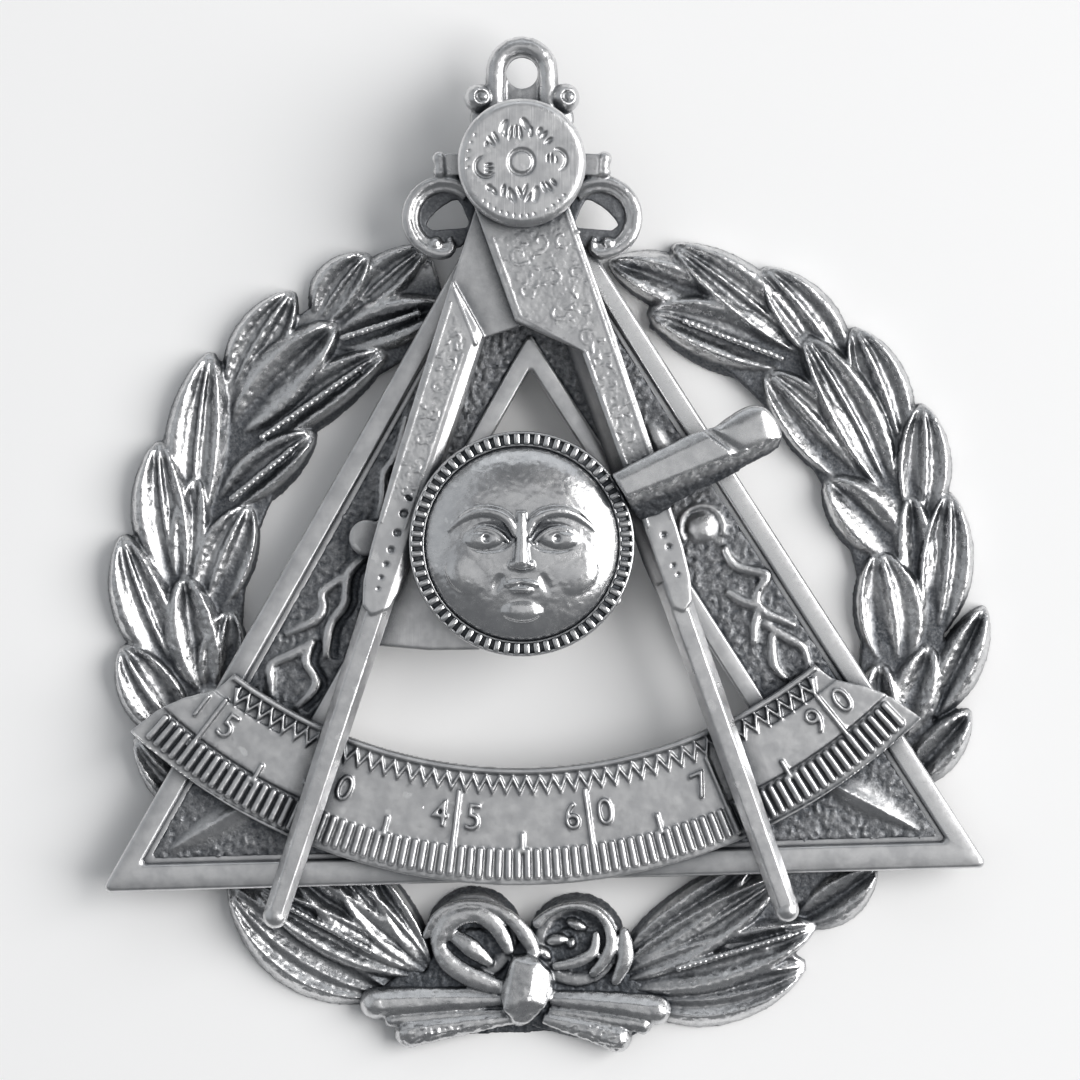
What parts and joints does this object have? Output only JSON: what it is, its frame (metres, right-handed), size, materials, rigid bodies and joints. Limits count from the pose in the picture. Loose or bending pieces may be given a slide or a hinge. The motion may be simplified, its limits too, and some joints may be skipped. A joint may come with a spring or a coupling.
{
  "type": "masonic collar jewel",
  "caption": "Silver collar jewel: compasses over a graduated arc and triangle, sun face and trowel, in a laurel wreath, hung from an eye.",
  "frame": {"origin": "middle of the jewel's outline, at the level of its flat back", "axes": "+Y from the bow to the hanging eye, +Z out of the front, +X to the right as seen from the front"},
  "size_m": [0.0703, 0.0805, 0.01],
  "materials": {
    "cast_silver": "cast silver, darkened in its hollows and rubbed bright on top",
    "plate_silver": "satin rolled silver, lightly darkened in its engraving"
  },
  "bodies": {
    "root": {"wreath": "cast_silver", "triangle_frame": "cast_silver", "graduated_arc": "plate_silver", "crest": "cast_silver", "trowel": "plate_silver", "compass_leg_left": "plate_silver", "compass_leg_right": "plate_silver", "hinge_cap": "plate_silver", "sun_disc": "cast_silver"}
  },
  "joints": []
}
